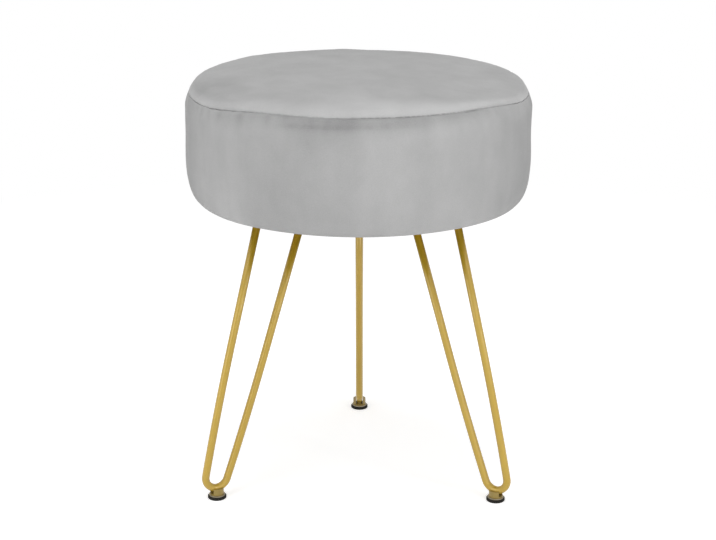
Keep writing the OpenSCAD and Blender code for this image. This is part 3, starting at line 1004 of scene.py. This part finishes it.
CAD_FINISHES = {
    "seat_board": PLYWOOD,
    "tee_nuts": ZINC,
    "cover_staples": ZINC,
    "dust_cover_staples": ZINC,
    "leg_screws": ZINC,
    "leg_screw_washers": ZINC,
    # The rivets and the cradles take the brass with painted shade.
    "foot_rivets": BRASS_PAINTED_SHADE,
}
for leg in LEG_TURNS:
    CAD_FINISHES[f"leg_plate_{leg}"] = BRASS
    # The cradle under each rod's bend takes the brass with painted shade.
    CAD_FINISHES[f"foot_cradle_{leg}"] = BRASS_PAINTED_SHADE
    CAD_FINISHES[f"foot_disc_{leg}"] = DULL_METAL
    CAD_FINISHES[f"foot_pad_{leg}"] = BLACK_PAD
for name, finish in CAD_FINISHES.items():
    for material_slot in nodes[name].material_slots:
        material_slot.material = finish


# Floor and light


def seen_rays(f):
    """1 for rays that show the background: from the camera, or by way of a gloss."""
    kinds = ("Is Camera Ray", "Is Glossy Ray", "Is Transmission Ray")
    rays = [f.node("ShaderNodeLightPath", out=kind) for kind in kinds]
    return f.node("ShaderNodeClamp", {}, {"Value": rays[0] + rays[1] + rays[2]})


def floor():
    """A pale floor that keeps the stool's shadow and turns to the white background further off."""
    f = Finish("floor")
    lit = f.node("ShaderNodeBsdfDiffuse", {}, {"Color": (0.9, 0.9, 0.9, 1)})
    glow = f.node("ShaderNodeEmission", {}, {"Color": (1, 1, 1, 1), "Strength": 0.52})
    white = f.node("ShaderNodeEmission", {}, {"Color": (1, 1, 1, 1), "Strength": 1.0})
    near = f.node("ShaderNodeAddShader", {}, {0: lit, 1: glow})
    away = f.node("ShaderNodeVectorMath", {"operation": "LENGTH"}, {0: f.place()}, out="Value")
    far = f.ramp(away * 0.5, (0.2, 0), (0.6, 1))
    seen = f.node("ShaderNodeMixShader", {}, {0: far, 1: near, 2: white})
    top = f.node("ShaderNodeMixShader", {}, {0: seen_rays(f), 1: lit, 2: seen})
    clear = f.node("ShaderNodeBsdfTransparent")
    below = f.node("ShaderNodeNewGeometry", out="Backfacing")
    shader = f.node("ShaderNodeMixShader", {}, {0: below, 1: top, 2: clear})
    f.node("ShaderNodeOutputMaterial", {}, {"Surface": shader})
    bm = bmesh.new()
    bmesh.ops.create_grid(bm, x_segments=1, y_segments=1, size=12)
    mesh = bpy.data.meshes.new("floor")
    bm.to_mesh(mesh)
    bm.free()
    mesh.materials.append(f.material)
    link(bpy.data.objects.new("floor", mesh))


def world():
    made = bpy.data.worlds.new("studio")
    bpy.context.scene.world = made
    f = Finish("studio", made)
    soft = f.node("ShaderNodeBackground", {}, {"Color": (1, 1, 1, 1), "Strength": 0.47})
    white = f.node("ShaderNodeBackground", {}, {"Color": (1, 1, 1, 1), "Strength": 1.0})
    shader = f.node("ShaderNodeMixShader", {}, {0: seen_rays(f), 1: soft, 2: white})
    f.node("ShaderNodeOutputWorld", {}, {"Surface": shader})


LAMPS_AIM_Z = 0.37


def lamp(name, turn, lift, away, size, power):
    """A soft lamp that looks at the seat, turned and lifted in degrees from the camera's side."""
    light = bpy.data.lights.new(name, "AREA")
    light.shape = "DISK"
    light.size = size
    light.energy = power
    obj = link(bpy.data.objects.new(name, light))
    aim = Vector((0, 0, LAMPS_AIM_Z))
    level = Vector((0, -away * cos(radians(lift)), away * sin(radians(lift))))
    off = Matrix.Rotation(CAMERA_TURN + radians(turn), 4, "Z") @ level
    facing_seat = (-off).to_track_quat("-Z", "Y").to_matrix().to_4x4()
    obj.matrix_world = Matrix.Translation(aim + off) @ facing_seat


floor()
world()
lamp("top_lamp", 0, 84, 2.4, 1.3, 18.5)
lamp("right_lamp", 42, 42, 2.4, 1.3, 3.6)
lamp("left_lamp", -44, 42, 2.4, 1.3, 4.5)
lamp("low_right_lamp", 20, 0, 1.4, 1.0, 2.7)
lamp("low_left_lamp", -50, 0, 1.4, 1.0, 4.2)
lamp("glint_lamp_low", 54, -6, 1.4, 0.2, 1.2)
lamp("glint_lamp_high", 54, 12, 1.4, 0.2, 1.2)
